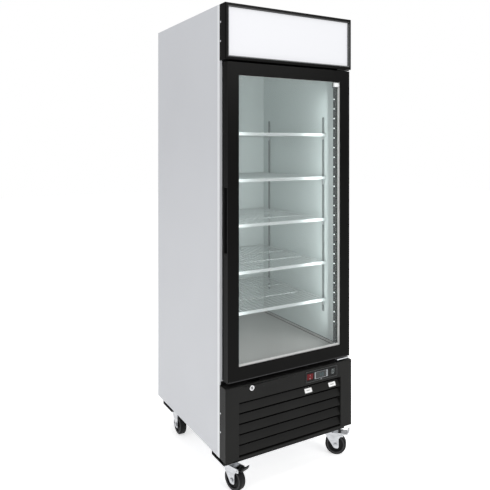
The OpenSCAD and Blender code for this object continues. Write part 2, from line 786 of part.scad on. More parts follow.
// Moulded cup that lines the grip pocket
module handle_insert() {
  z0 = grip_z - grip_len / 2;
  z1 = grip_z + grip_len / 2;
  t = 2;
  color(black_plastic) difference() {
    block([-door_hw, grip_y0, z0], [-door_hw + grip_d, grip_y1, z1]);
    block([-door_hw - 1, grip_y0 + t, z0 + t], [-door_hw + grip_d - t, grip_y1 - t, z1 - t]);
  }
}

// ---- casters ----

// Puts a shape built around a swivel axis at the origin, trailing along +X, under one corner
module at_corner(k) { translate([corner_x[k], corner_y[k], 0]) rotate([0, 0, headings[k]]) children(); }

// Top plates with the upper swivel race, the kingpin and the mounting bolts' heads
module caster_plates() {
  color(zinc) for (k = [0 : 3]) translate([corner_x[k], corner_y[k], 0]) {
    block([-52, -42, rail_z - plate_t], [52, 42, rail_z]);
    translate([0, 0, 118]) cylinder(d = 46, h = rail_z - 120);
    translate([0, 0, 97]) cylinder(d = 12, h = 25);
    translate([0, 0, 97]) cylinder(d = 19, h = 6.5);
    for (dx = [-40, 40], dy = [-30, 30]) {
      translate([dx, dy, rail_z - plate_t - 4]) cylinder(d = 14, h = 4.5, $fn = 6);
      translate([dx, dy, rail_z - 1]) cylinder(d = 8, h = 10);
    }
  }
}

// Pressed swivel fork with its lower race, two tapered legs and the axle bolt. The front forks'
// legs reach out to carry the brake pedal's pin
module fork(k, with_brake) {
  tip = with_brake ? [[60, 90], [75, 92], [75, 108]] : [[50, 108]];
  outline = concat([[-12, 108], [-12, 98], [29, 37], [36, 34], [48, 34], [53, 40], [53, 78]], tip);
  bend = leg_in + leg_t;
  color(zinc) at_corner(k) {
    difference() {
      union() {
        block([-26, -bend, crown_z], [50, bend, crown_z + 4]);
        translate([0, 0, crown_z + 3.9]) cylinder(d1 = 56, d2 = 48, h = 9.8);
      }
      translate([0, 0, crown_z - 1]) cylinder(d = 12.1, h = 20);
    }
    for (s = [-1, 1]) translate([0, s * (leg_in + leg_t / 2) + leg_t / 2, 0]) rotate([90, 0, 0])
      linear_extrude(leg_t) polygon(outline);
    translate([trail, -bend - 6, axle_z]) rotate([-90, 0, 0]) cylinder(d = axle_d, h = 2 * bend + 12);
    for (s = [-1, 1]) translate([trail, s * (bend + 2.5), axle_z]) rotate([90, 0, 0])
      cylinder(d = 19, h = 5.5, center = true, $fn = 6);
    if (with_brake) translate([pedal_at[0], -bend - 3, pedal_at[1]]) rotate([-90, 0, 0])
      cylinder(d = 6, h = 2 * bend + 6);
  }
}

module fork_front_left() { fork(0, true); }
module fork_front_right() { fork(1, true); }
module fork_rear_left() { fork(2, false); }
module fork_rear_right() { fork(3, false); }

// Rubber wheel with a crowned tread and a bored hub
module wheel(k) {
  half = wheel_w / 2;
  r = wheel_d / 2;
  color(black_plastic) at_corner(k) translate([trail, 0, axle_z]) rotate([90, 0, 0])
    rotate_extrude($fn = 96) difference() {
      union() {
        translate([axle_d / 2 + 0.05, -half - 2]) square([10, wheel_w + 4]);
        translate([axle_d / 2 + 0.05, -half]) square([r - 6 - axle_d / 2 - 0.05, wheel_w]);
        translate([r - 12, -half + 6]) square([12, wheel_w - 12]);
        for (s = [-1, 1]) translate([r - 6, s * (half - 6)]) circle(6);
      }
      for (s = [-1, 1]) translate([19, s > 0 ? half - 4 : -half - 1]) square([15, 5]);
    }
}

module wheel_front_left() { wheel(0); }
module wheel_front_right() { wheel(1); }
module wheel_rear_left() { wheel(2); }
module wheel_rear_right() { wheel(3); }

// Foot pedal of the wheel brake: a barrel between the fork's legs, then a wider plate with an
// upturned toe
module pedal(k) {
  half = leg_in - 2;
  color(black_plastic) at_corner(k) difference() {
    union() {
      translate([pedal_at[0], -half, pedal_at[1]]) rotate([-90, 0, 0]) cylinder(d = 11, h = 2 * half);
      translate([0, half, 0]) rotate([90, 0, 0]) linear_extrude(2 * half)
        polygon([[64, 97], [65, 104], [80, 107], [92, 108], [92, 103], [80, 102], [71, 97]]);
      translate([0, half + 4, 0]) rotate([90, 0, 0]) linear_extrude(2 * half + 8)
        polygon([[78, 106.6], [92, 108], [100, 122], [104, 120.5], [96, 104], [78, 101.5]]);
    }
    translate([pedal_at[0], -half - 1, pedal_at[1]]) rotate([-90, 0, 0])
      cylinder(d = 6.1, h = 2 * half + 2);
  }
}

module pedal_front_left() { pedal(0); }
module pedal_front_right() { pedal(1); }

side_panel_left();
side_panel_right();
back_panel();
top_panel();
foam_core();
inner_liner();
floor_pan();
front_frame();
sign_housing();
sign_panel();
sign_lamp();
trim_screws();
base_deck();
base_rails();
grille_panel();
control_bezel();
controller_case();
controller_display();
lock_barrel();
shelf_standards();
shelf_clips();
led_strips();
evaporator_cover();
evaporator_coil();
compressor();
condenser_coil();
fan_shroud();
refrigerant_lines();
rear_grille();
cord_gland();
wall_spacers();
hinge_brackets();
caster_plates();
shelf_1();
shelf_2();
shelf_3();
shelf_4();
shelf_5();
door_frame();
door_glass();
glazing_spacer();
door_gasket();
handle_insert();
lock_cylinder();
power_rocker();
light_rocker();
key_up();
key_down();
condenser_fan();
evaporator_fan();
fork_front_left();
fork_front_right();
fork_rear_left();
fork_rear_right();
wheel_front_left();
wheel_front_right();
wheel_rear_left();
wheel_rear_right();
pedal_front_left();
pedal_front_right();
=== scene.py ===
"""Looks for the glass door merchandiser: materials, small trim, light and camera around the CAD frame."""

import json
import math

import bpy
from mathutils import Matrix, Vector


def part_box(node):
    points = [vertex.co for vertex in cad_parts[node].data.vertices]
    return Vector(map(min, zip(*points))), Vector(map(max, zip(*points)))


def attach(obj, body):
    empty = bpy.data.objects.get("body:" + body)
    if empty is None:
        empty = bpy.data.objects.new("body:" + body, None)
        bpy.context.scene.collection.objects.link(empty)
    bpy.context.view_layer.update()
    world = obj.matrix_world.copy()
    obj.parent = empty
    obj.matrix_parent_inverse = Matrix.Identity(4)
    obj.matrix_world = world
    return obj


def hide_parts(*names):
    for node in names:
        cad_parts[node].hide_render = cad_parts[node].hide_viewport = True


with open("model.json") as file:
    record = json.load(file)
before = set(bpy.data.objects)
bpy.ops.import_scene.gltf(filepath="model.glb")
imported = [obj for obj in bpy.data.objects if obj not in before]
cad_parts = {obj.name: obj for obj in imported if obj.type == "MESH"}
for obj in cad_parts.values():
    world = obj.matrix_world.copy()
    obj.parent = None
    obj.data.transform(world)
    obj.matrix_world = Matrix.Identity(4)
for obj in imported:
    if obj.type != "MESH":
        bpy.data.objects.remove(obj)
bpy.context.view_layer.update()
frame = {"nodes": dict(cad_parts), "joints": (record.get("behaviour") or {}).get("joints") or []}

MM = 0.001
NODES = frame["nodes"]

# ---------------------------------------------------------------- materials

GLOSS_SPREAD = 0.05
RELIEF_DEPTH = 0.4 * MM


def surface(
    name,
    colour,
    rough,
    metallic=0.0,
    mottle=(3.0, 0.03),
    grain=(900.0, 0.05),
    stretch=(1, 1, 1),
    specular=0.5,
    alpha=1.0,
    glow=0.0,
):
    """A shader with slow colour variation, fine relief and uneven gloss.
    mottle is (scale, amount) of the colour variation, grain is (scale, strength) of the relief, and
    stretch squeezes both along an axis, for brushed metal."""
    material = bpy.data.materials.new(name)
    material.use_nodes = True
    tree = material.node_tree
    shader = tree.nodes["Principled BSDF"]
    place = tree.nodes.new("ShaderNodeTexCoord")
    scaled = tree.nodes.new("ShaderNodeMapping")
    scaled.inputs["Scale"].default_value = stretch
    tree.links.new(place.outputs["Object"], scaled.inputs["Vector"])

    slow = tree.nodes.new("ShaderNodeTexNoise")
    slow.inputs["Scale"].default_value = mottle[0]
    slow.inputs["Detail"].default_value = 4
    fine = tree.nodes.new("ShaderNodeTexNoise")
    fine.inputs["Scale"].default_value = grain[0]
    fine.inputs["Detail"].default_value = 3
    for noise in (slow, fine):
        tree.links.new(scaled.outputs["Vector"], noise.inputs["Vector"])

    tint = tree.nodes.new("ShaderNodeValToRGB")
    low, high = 1 - mottle[1], 1 + mottle[1]
    tint.color_ramp.elements[0].position = 0.3
    tint.color_ramp.elements[0].color = (*(min(1, c * low) for c in colour), 1)
    tint.color_ramp.elements[1].position = 0.7
    tint.color_ramp.elements[1].color = (*(min(1, c * high) for c in colour), 1)
    tree.links.new(slow.outputs["Fac"], tint.inputs["Fac"])
    tree.links.new(tint.outputs["Color"], shader.inputs["Base Color"])

    gloss = tree.nodes.new("ShaderNodeMapRange")
    gloss.inputs["To Min"].default_value = max(0.02, rough - GLOSS_SPREAD)
    gloss.inputs["To Max"].default_value = min(1.0, rough + GLOSS_SPREAD)
    tree.links.new(fine.outputs["Fac"], gloss.inputs["Value"])
    tree.links.new(gloss.outputs["Result"], shader.inputs["Roughness"])

    relief = tree.nodes.new("ShaderNodeBump")
    relief.inputs["Strength"].default_value = grain[1]
    relief.inputs["Distance"].default_value = RELIEF_DEPTH
    tree.links.new(fine.outputs["Fac"], relief.inputs["Height"])
    tree.links.new(relief.outputs["Normal"], shader.inputs["Normal"])

    shader.inputs["Metallic"].default_value = metallic
    shader.inputs["Specular IOR Level"].default_value = specular
    shader.inputs["Alpha"].default_value = alpha
    if glow:
        shader.inputs["Emission Color"].default_value = (*colour, 1)
        shader.inputs["Emission Strength"].default_value = glow
    return material


cabinet_paint = surface("cabinet_paint", (0.56, 0.572, 0.60), 0.42, mottle=(1.6, 0.02), grain=(1100, 0.08))
front_paint = surface("front_paint", (0.71, 0.725, 0.745), 0.4, mottle=(2, 0.015), grain=(1100, 0.08))
liner_paint = surface("liner_paint", (0.53, 0.58, 0.575), 0.5, mottle=(2.2, 0.04), grain=(600, 0.02))
floor_steel = surface(
    "floor_steel", (0.42, 0.405, 0.395), 0.4, 0.35, mottle=(9, 0.05), grain=(220, 0.12), stretch=(1, 12, 1)
)
foam = surface("foam", (0.80, 0.69, 0.42), 0.9, mottle=(40, 0.08), grain=(500, 0.5))
black_paint = surface(
    "black_paint", (0.0115, 0.0115, 0.011), 0.42, mottle=(5, 0.12), grain=(1300, 0.14), specular=0.1
)
door_paint = surface(
    "door_paint", (0.0035, 0.0035, 0.0033), 0.3, mottle=(4, 0.12), grain=(1300, 0.1), specular=0.06
)
# Black plastic, also laid as painted shade in screw recesses and caster races
black_plastic = surface(
    "black_plastic", (0.010, 0.010, 0.010), 0.5, mottle=(25, 0.15), grain=(1800, 0.25), specular=0.15
)
gloss_black = surface("gloss_black", (0.008, 0.010, 0.011), 0.14, mottle=(30, 0.1), grain=(300, 0.01))
# Black rubber, also laid as painted shade in the gaps round the door and in the grille's slot
rubber_and_shade_black = surface(
    "rubber_and_shade_black", (0.008, 0.008, 0.008), 0.7, mottle=(30, 0.15), grain=(1500, 0.2), specular=0.15
)
tyre_rubber = surface(
    "tyre_rubber", (0.006, 0.006, 0.0065), 0.62, mottle=(30, 0.2), grain=(1400, 0.35), specular=0.2
)
zinc = surface(
    "zinc", (0.55, 0.56, 0.58), 0.3, 0.85, mottle=(30, 0.17), grain=(260, 0.2), stretch=(1, 1, 3)
)
chrome = surface("chrome", (0.60, 0.60, 0.61), 0.14, 1.0, mottle=(60, 0.05), grain=(900, 0.04))
sign_white = surface(
    "sign_white", (0.32, 0.322, 0.333), 0.35, mottle=(2, 0.008), grain=(900, 0.02), specular=0.3, glow=1.45
)
lamp_white = surface("lamp_white", (0.88, 0.88, 0.86), 0.4, mottle=(8, 0.03))
silver_plastic = surface(
    "silver_plastic", (0.27, 0.285, 0.30), 0.3, 0.4, mottle=(60, 0.08), grain=(1500, 0.1)
)
red_plastic = surface(
    "red_plastic", (0.11, 0.003, 0.006), 0.3, mottle=(60, 0.15), grain=(900, 0.05), specular=0.15
)
rocker_black = surface("rocker_black", (0.012, 0.02, 0.02), 0.25, mottle=(60, 0.15), grain=(900, 0.05))
standard_paint = surface(
    "standard_paint", (0.17, 0.185, 0.185), 0.4, 0.3, mottle=(12, 0.06), grain=(700, 0.1)
)
led_channel = surface(
    "led_channel", (0.022, 0.024, 0.026), 0.6, mottle=(20, 0.1), grain=(900, 0.1), specular=0.1
)
led_lens = surface("led_lens", (0.80, 0.84, 0.85), 0.3, mottle=(90, 0.05), glow=1.1)
connector_white = surface("connector_white", (0.85, 0.86, 0.86), 0.4, mottle=(60, 0.03))
coil_metal = surface("coil_metal", (0.45, 0.46, 0.47), 0.35, 0.9, mottle=(20, 0.1), grain=(500, 0.1))
copper = surface("copper", (0.66, 0.30, 0.16), 0.3, 0.95, mottle=(25, 0.15), grain=(500, 0.08))
shelf_coating = surface("shelf_coating", (0.42, 0.45, 0.45), 0.3, mottle=(20, 0.03), grain=(900, 0.05))
glass = surface("glass", (0.62, 0.68, 0.67), 0.04, mottle=(3, 0.03), grain=(60, 0.004), alpha=0.03)
spacer_metal = surface("spacer_metal", (0.72, 0.71, 0.70), 0.5, mottle=(40, 0.05), grain=(900, 0.1))
fan_plastic = surface("fan_plastic", (0.24, 0.25, 0.26), 0.5, mottle=(20, 0.08), grain=(900, 0.1))
trim_grey = surface("trim_grey", (0.10, 0.105, 0.105), 0.4, mottle=(60, 0.06), grain=(900, 0.05))
# Near-black for painted shade behind the louvres
shade_cloth = surface(
    "shade_cloth", (0.002, 0.002, 0.002), 0.9, mottle=(60, 0.2), grain=(700, 0.3), specular=0.02
)
rim_grey = surface("rim_grey", (0.07, 0.075, 0.075), 0.4, mottle=(60, 0.06), grain=(900, 0.05))
label_white = surface("label_white", (0.88, 0.88, 0.87), 0.55, mottle=(80, 0.03), grain=(1500, 0.1))
label_grey = surface("label_grey", (0.42, 0.42, 0.42), 0.55, mottle=(80, 0.03), grain=(1500, 0.1))
# Painted highlight: a grey laid on edges and faces that catch the light
highlight_grey = surface("highlight_grey", (0.04, 0.04, 0.042), 0.5, mottle=(60, 0.12), grain=(1400, 0.2), specular=0.2)
mark_pale = surface("mark_pale", (0.40, 0.41, 0.40), 0.5, mottle=(80, 0.05))
digit_teal = surface("digit_teal", (0.02, 0.07, 0.08), 0.4, mottle=(80, 0.05), glow=0.15)
lock_steel = surface("lock_steel", (0.30, 0.30, 0.31), 0.3, 0.9, mottle=(60, 0.08), grain=(900, 0.06))
hinge_steel = surface("hinge_steel", (0.62, 0.63, 0.65), 0.34, 0.6, mottle=(35, 0.10), grain=(260, 0.16))


# Black laid on as painted shade
PAINTED_SHADE_BLACK = (0.006, 0.006, 0.006)


def paint_shade_above(material, height):
    """Painted shade: black over the part of a material above a height."""
    tree = material.node_tree
    shader = tree.nodes["Principled BSDF"]
    parts = tree.nodes.new("ShaderNodeSeparateXYZ")
    above = tree.nodes.new("ShaderNodeMath")
    above.operation = "GREATER_THAN"
    above.inputs[1].default_value = height
    keep = tree.nodes.new("ShaderNodeMix")
    keep.data_type = "RGBA"
    keep.inputs["B"].default_value = (*PAINTED_SHADE_BLACK, 1)
    place = next(n for n in tree.nodes if n.type == "TEX_COORD")
    tint = next(n for n in tree.nodes if n.type == "VALTORGB")
    tree.links.new(place.outputs["Object"], parts.inputs["Vector"])
    tree.links.new(parts.outputs["Z"], above.inputs[0])
    tree.links.new(above.outputs["Value"], keep.inputs["Factor"])
    tree.links.new(tint.outputs["Color"], keep.inputs["A"])
    tree.links.new(keep.outputs["Result"], shader.inputs["Base Color"])


# Painted shade: the upper hinge, and the sign trim's top edge, are black above a height, where they sit in
# shade
hinge_lo, hinge_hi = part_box("hinge_brackets")
sign_lo, sign_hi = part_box("sign_housing")
paint_shade_above(hinge_steel, (hinge_lo.z + hinge_hi.z) / 2)
paint_shade_above(trim_grey, sign_hi.z - 24 * MM)

NODE_MATERIALS = {
    cabinet_paint: ["side_panel_left", "side_panel_right", "top_panel", "back_panel", "rear_grille"],
    front_paint: ["front_frame"],
    liner_paint: ["inner_liner", "evaporator_cover"],
    floor_steel: ["floor_pan"],
    foam: ["foam_core"],
    black_paint: ["grille_panel", "base_rails", "compressor"],
    door_paint: ["door_frame"],
    sign_white: ["sign_panel"],
    lamp_white: ["sign_lamp"],
    zinc: [
        "trim_screws",
        "base_deck",
        "shelf_clips",
        "caster_plates",
        "fork_front_left",
        "fork_front_right",
        "fork_rear_left",
        "fork_rear_right",
        "pedal_front_right",
    ],
    black_plastic: [
        "control_bezel",
        "handle_insert",
        "wall_spacers",
        "cord_gland",
        "fan_shroud",
        "pedal_front_left",
    ],
    gloss_black: ["controller_display"],
    silver_plastic: ["controller_case", "key_up", "key_down"],
    red_plastic: ["power_rocker"],
    rocker_black: ["light_rocker"],
    chrome: ["lock_barrel"],
    lock_steel: ["lock_cylinder"],
    hinge_steel: ["hinge_brackets"],
    standard_paint: ["shelf_standards"],
    led_channel: ["led_strips"],
    coil_metal: ["evaporator_coil", "condenser_coil"],
    copper: ["refrigerant_lines"],
    shelf_coating: ["shelf_1", "shelf_2", "shelf_3", "shelf_4", "shelf_5"],
    glass: ["door_glass"],
    spacer_metal: ["glazing_spacer"],
    fan_plastic: ["condenser_fan", "evaporator_fan"],
    tyre_rubber: ["wheel_front_left", "wheel_front_right", "wheel_rear_left", "wheel_rear_right"],
}
for material, names in NODE_MATERIALS.items():
    for name in names:
        node = NODES[name]
        if not node.material_slots:
            node.data.materials.append(material)
        for spot in node.material_slots:
            spot.material = material

# ---------------------------------------------------------------- softened edges


def clean_normals():
    """A modifier group that joins split corners and shades by angle."""
    group = bpy.data.node_groups.new("clean_normals", "GeometryNodeTree")
    group.interface.new_socket("Geometry", in_out="INPUT", socket_type="NodeSocketGeometry")
    group.interface.new_socket("Geometry", in_out="OUTPUT", socket_type="NodeSocketGeometry")
    start = group.nodes.new("NodeGroupInput")
    end = group.nodes.new("NodeGroupOutput")
    merge = group.nodes.new("GeometryNodeMergeByDistance")
    merge.inputs["Distance"].default_value = 2e-6
    angle = group.nodes.new("GeometryNodeInputMeshEdgeAngle")
    sharp = group.nodes.new("FunctionNodeCompare")
    sharp.operation = "GREATER_THAN"
    sharp.inputs[1].default_value = math.radians(32)
    normals = group.nodes.new("GeometryNodeSetMeshNormal")
    normals.mode = "SHARPNESS"
    normals.inputs["Remove Custom"].default_value = True
    group.links.new(start.outputs[0], merge.inputs[0])
    group.links.new(merge.outputs[0], normals.inputs["Mesh"])
    group.links.new(angle.outputs["Unsigned Angle"], sharp.inputs[0])
    group.links.new(sharp.outputs[0], normals.inputs["Edge Sharpness"])
    group.links.new(normals.outputs[0], end.inputs[0])
    return group


CLEAN = clean_normals()


def soften(piece, width=0.0, segments=2):
    """Smooth shading by angle, with rounded edges of that width."""
    piece.modifiers.new("clean", "NODES").node_group = CLEAN
    if width:
        bevel = piece.modifiers.new("edges", "BEVEL")
        bevel.width = width
        bevel.segments = segments
        bevel.limit_method = "ANGLE"
        bevel.angle_limit = math.radians(40)
        bevel.harden_normals = True


EDGE_RADIUS = {
    0.6 * MM: [
        "front_frame",
        "control_bezel",
        "controller_case",
        "hinge_brackets",
        "shelf_clips",
        "base_rails",
    ],
    0.8 * MM: [
        "grille_panel",
        "power_rocker",
        "light_rocker",
        "lock_cylinder",
        "lock_barrel",
        "handle_insert",
    ],
    1.2 * MM: ["door_frame", "pedal_front_left", "pedal_front_right", "compressor", "wall_spacers"],
    0.3 * MM: ["key_up", "key_down", "glazing_spacer", "door_glass", "evaporator_cover", "trim_screws"],
}
rounded = set()
for width, names in EDGE_RADIUS.items():
    for name in names:
        soften(NODES[name], width)
        rounded.add(name)
for name in sorted(set(NODES) - rounded):
    soften(NODES[name])

# ---------------------------------------------------------------- making pieces


def piece(name, verts, faces, material, body, soft=0.0):
    """A mesh piece with one material that rides on a body."""
    mesh = bpy.data.meshes.new(name)
    mesh.from_pydata([tuple(v) for v in verts], [], faces)
    mesh.materials.append(material)
    made = bpy.data.objects.new(name, mesh)
    bpy.context.scene.collection.objects.link(made)
    soften(made, soft)
    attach(made, body)
    return made


BOX_FACES = [(0, 3, 2, 1), (4, 5, 6, 7), (0, 1, 5, 4), (1, 2, 6, 5), (2, 3, 7, 6), (3, 0, 4, 7)]


def box_shape(lo, hi):
    """Corners and faces of a box between two opposite corners."""
    (x0, y0, z0), (x1, y1, z1) = lo, hi
    ring = [(x0, y0), (x1, y0), (x1, y1), (x0, y1)]
    return [(x, y, z0) for x, y in ring] + [(x, y, z1) for x, y in ring], BOX_FACES


def joined(shapes):
    """Several shapes as one list of corners and faces."""
    verts, faces = [], []
    for more, loops in shapes:
        faces += [tuple(i + len(verts) for i in loop) for loop in loops]
        verts += list(more)
    return verts, faces


def turned_shape(profile, centre, axis, steps=32):
    """A profile of (radius, height) pairs turned about an axis, closed at ends of radius 0."""
    turn = Vector((0, 0, 1)).rotation_difference(Vector(axis)).to_matrix()
    verts, faces = [], []
    for radius, height in profile:
        for k in range(steps):
            a = 2 * math.pi * k / steps
            verts.append(Vector(centre) + turn @ Vector((radius * math.cos(a), radius * math.sin(a), height)))
    for j in range(len(profile) - 1):
        for k in range(steps):
            n = (k + 1) % steps
            faces.append((j * steps + k, j * steps + n, (j + 1) * steps + n, (j + 1) * steps + k))
    faces.append(tuple(range(steps))[::-1])
    last = (len(profile) - 1) * steps
    faces.append(tuple(range(last, last + steps)))
    return verts, faces


def hoop_shape(centre, inner, outer, z0, z1, steps=64):
    """A flat ring about a vertical axis."""
    verts, faces = [], []
    for radius, z in ((inner, z0), (outer, z0), (outer, z1), (inner, z1)):
        for k in range(steps):
            a = 2 * math.pi * k / steps
            verts.append((centre[0] + radius * math.cos(a), centre[1] + radius * math.sin(a), z))
    for j in range(4):
        m = (j + 1) % 4
        for k in range(steps):
            n = (k + 1) % steps
            faces.append((j * steps + k, j * steps + n, m * steps + n, m * steps + k))
    return verts, faces


def round_rect(x0, x1, z0, z1, radius, steps=6):
    """Outline of a rectangle with round corners, anticlockwise in the XZ plane."""
    radius = max(radius, 0.0001)
    corners = [(x1 - radius, z0 + radius, -90), (x1 - radius, z1 - radius, 0)]
    corners += [(x0 + radius, z1 - radius, 90), (x0 + radius, z0 + radius, 180)]
    points = []
    for cx, cz, start in corners:
        for k in range(steps + 1):
            a = math.radians(start + 90 * k / steps)
            points.append((cx + radius * math.cos(a), cz + radius * math.sin(a)))
    return points


def frame_shape(x0, x1, z0, z1, radius, profile):
    """A closed profile of (inset, y) pairs swept round a rectangle."""
    verts, faces, count = [], [], 0
    for inset, y in profile:
        loop = round_rect(x0 + inset, x1 - inset, z0 + inset, z1 - inset, radius - inset)
        count = len(loop)
        verts += [(x, y, z) for x, z in loop]
    rings = len(profile)
    for j in range(rings):
        m = (j + 1) % rings
        for k in range(count):
            n = (k + 1) % count
            faces.append((j * count + k, m * count + k, m * count + n, j * count + n))
    return verts, faces


def arc(cx, cy, radius, start, end, steps=5):
    """Points on an arc, in degrees."""
    turns = [math.radians(start + (end - start) * k / steps) for k in range(steps + 1)]
    return [(cx + radius * math.cos(a), cy + radius * math.sin(a)) for a in turns]


def screws(name, spots, normal, radius, body):
    """Domed screws, with black crosses on the heads painted as the shade in their recesses."""
    r = radius
    dome = [
        (0.96 * r, -0.2 * MM),
        (r, 0.15 * r),
        (0.9 * r, 0.32 * r),
        (0.62 * r, 0.46 * r),
        (0.25 * r, 0.52 * r),
    ]
    heads = [turned_shape(dome, spot, normal, 20) for spot in spots]
    piece(name, *joined(heads), zinc, body)
    # Painted shade: black crosses on the heads stand in for the shade in their recesses
    turn = Vector((0, 0, 1)).rotation_difference(Vector(normal)).to_matrix()
    marks = []
    for spot in spots:
        for long, short in ((0.55, 0.11), (0.11, 0.55)):
            verts, faces = box_shape((-long * r, -short * r, 0.3 * r), (long * r, short * r, 0.53 * r))
            marks.append(([Vector(spot) + turn @ Vector(v) for v in verts], faces))
    piece(name + "_recess_shade", *joined(marks), black_plastic, body)


# ---------------------------------------------------------------- sign box

SHEET = 1.5 * MM
SIGN_FRAME = 17 * MM
SIGN_ROUND = 5 * MM
SIGN_RECESS = 8.4 * MM
SIGN_RETURN = 12 * MM
LIP_ROUND = 1.2 * MM
y_front, y_rear = sign_lo.y, sign_hi.y
outer = arc(SIGN_ROUND, y_front + SIGN_ROUND, SIGN_ROUND, -90, -180)
lip = arc(SIGN_FRAME - LIP_ROUND, y_front + LIP_ROUND, LIP_ROUND, 0, -90, 4)
inner = arc(SIGN_ROUND, y_front + SIGN_ROUND, SIGN_ROUND - SHEET, -180, -90)
sign_profile = [
    (SIGN_FRAME, y_front + SIGN_RECESS),
    *lip,
    *outer,
    (0, y_rear),
    (SIGN_RETURN, y_rear),
    (SIGN_RETURN, y_rear - SHEET),
    (SHEET, y_rear - SHEET),
    *inner,
    (SIGN_FRAME - SHEET, y_front + SHEET),
    (SIGN_FRAME - SHEET, y_front + SIGN_RECESS),
]
sign_shell = piece(
    "sign_shell",
    *frame_shape(sign_lo.x, sign_hi.x, sign_lo.z, sign_hi.z, SHEET, sign_profile),
    door_paint,
    "cabinet",
)
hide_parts("sign_housing")
cover_inset = SIGN_RETURN - 1 * MM
sign_back = piece(
    "sign_back",
    *box_shape(
        (sign_lo.x + cover_inset, y_rear - 1.2 * MM, sign_lo.z + cover_inset),
        (sign_hi.x - cover_inset, y_rear - 0.2 * MM, sign_hi.z - cover_inset),
    ),
    black_paint,
    "cabinet",
)

# Thin trim bead around the frame's opening
trim_profile = [
    (SIGN_FRAME, y_front + 1 * MM),
    (SIGN_FRAME - 0.2 * MM, y_front - 0.3 * MM),
    (SIGN_FRAME - 1 * MM, y_front - 0.9 * MM),
    (SIGN_FRAME - 3.4 * MM, y_front - 0.9 * MM),
    (SIGN_FRAME - 4.2 * MM, y_front - 0.3 * MM),
    (SIGN_FRAME - 4.4 * MM, y_front + 1 * MM),
]
piece(
    "sign_trim",
    *frame_shape(sign_lo.x, sign_hi.x, sign_lo.z, sign_hi.z, SHEET, trim_profile),
    trim_grey,
    "cabinet",
)

# ---------------------------------------------------------------- door trim

door_lo, door_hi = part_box("door_frame")
gasket_lo, gasket_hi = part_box("door_gasket")
glass_lo, glass_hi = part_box("door_glass")

# Rubber beads where the glass meets the frame, in front and behind
BEAD = 1.4 * MM
BITE = 10 * MM
REAR_STEP = 8 * MM
open_x, open_z0, open_z1 = glass_hi.x - BITE, glass_lo.z + BITE, glass_hi.z - BITE
bead_profile = [
    (0, glass_lo.y - 2.4 * MM),
    (0.6 * MM, glass_lo.y - 2.1 * MM),
    (BEAD, glass_lo.y - 0.7 * MM),
    (BEAD, glass_lo.y - 0.1 * MM),
    (-1 * MM, glass_lo.y - 0.1 * MM),
]
back_profile = [(inset - REAR_STEP, glass_hi.y + glass_lo.y - y) for inset, y in bead_profile][::-1]
for name, profile in (("glazing_bead_front", bead_profile), ("glazing_bead_rear", back_profile)):
    shape = frame_shape(-open_x, open_x, open_z0, open_z1, 1 * MM, profile)
    piece(name, *shape, rubber_and_shade_black, "door")

# White block in the corner of the glazed unit, by its hinge side
piece(
    "glass_corner_block",
    *box_shape(
        (open_x - 30 * MM, glass_lo.y + 4.6 * MM, open_z1 - 22 * MM),
        (open_x - 1.4 * MM, glass_lo.y + 16 * MM, open_z1 - 3 * MM),
    ),
    connector_white,
    "door",
    0.6 * MM,
)

# Painted highlight: a grey bead along the door's lower front edge, where that edge catches the light
piece(
    "door_lower_highlight",
    *box_shape(
        (door_lo.x + 3 * MM, door_lo.y - 0.4 * MM, door_lo.z + 1.2 * MM),
        (door_hi.x - 3 * MM, door_lo.y + 1 * MM, door_lo.z + 4 * MM),
    ),
    highlight_grey,
    "door",
    0.3 * MM,
)

# Painted shade: a black rim round the door's back, outside its seal, up to the hinge bracket, darkening the
# gaps beside the door
rim_y0, rim_y1 = door_hi.y - 0.1 * MM, gasket_hi.y - 1.2 * MM
rim_x0, rim_x1 = door_lo.x + 1 * MM, gasket_lo.x - 0.1 * MM
rim_z0, rim_z1 = door_lo.z + 2 * MM, door_hi.z - 2 * MM
rim_end = hinge_lo.x - 6 * MM
piece(
    "door_back_shade_rim",
    *joined(
        [
            box_shape((rim_x0, rim_y0, rim_z0), (rim_x1, rim_y1, rim_z1)),
            box_shape((rim_x1, rim_y0, gasket_hi.z), (rim_end, rim_y1, rim_z1)),
            box_shape((rim_x1, rim_y0, rim_z0), (rim_end, rim_y1, gasket_lo.z)),
        ]
    ),
    rubber_and_shade_black,
    "door",
)

# Painted shade: a black strip on the cabinet's face over the door, up to the hinge bracket, for the shade
# under the sign
piece(
    "header_shade_strip",
    *box_shape(
        (rim_x0, gasket_hi.y - 1 * MM, gasket_hi.z + 1 * MM),
        (rim_end, gasket_hi.y + 0.3 * MM, sign_lo.z - 0.5 * MM),
    ),
    rubber_and_shade_black,
    "cabinet",
)

# Magnetic seal: a snap-in foot, two bellows folds and the magnet tube
g0, g1 = gasket_lo.y, gasket_hi.y
seal_profile = [
    (0.5 * MM, g0),
    (2.2 * MM, g0 + 1.5 * MM),
    (0.8 * MM, g0 + 3.2 * MM),
    (2.4 * MM, g0 + 4.8 * MM),
    (0.6 * MM, g0 + 6 * MM),
    (0.9 * MM, g1 - 0.8 * MM),
    (2 * MM, g1),
    (11 * MM, g1),
    (12.4 * MM, g1 - 1.2 * MM),
    (12 * MM, g0 + 6 * MM),
    (13.6 * MM, g0 + 4.6 * MM),
    (12.2 * MM, g0 + 3 * MM),
    (14.4 * MM, g0 + 1.4 * MM),
    (14.8 * MM, g0),
]
seal = piece(
    "magnetic_seal",
    *frame_shape(gasket_lo.x, gasket_hi.x, gasket_lo.z, gasket_hi.z, 0.5 * MM, seal_profile[::-1]),
    rubber_and_shade_black,
    "door",
)
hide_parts("door_gasket")
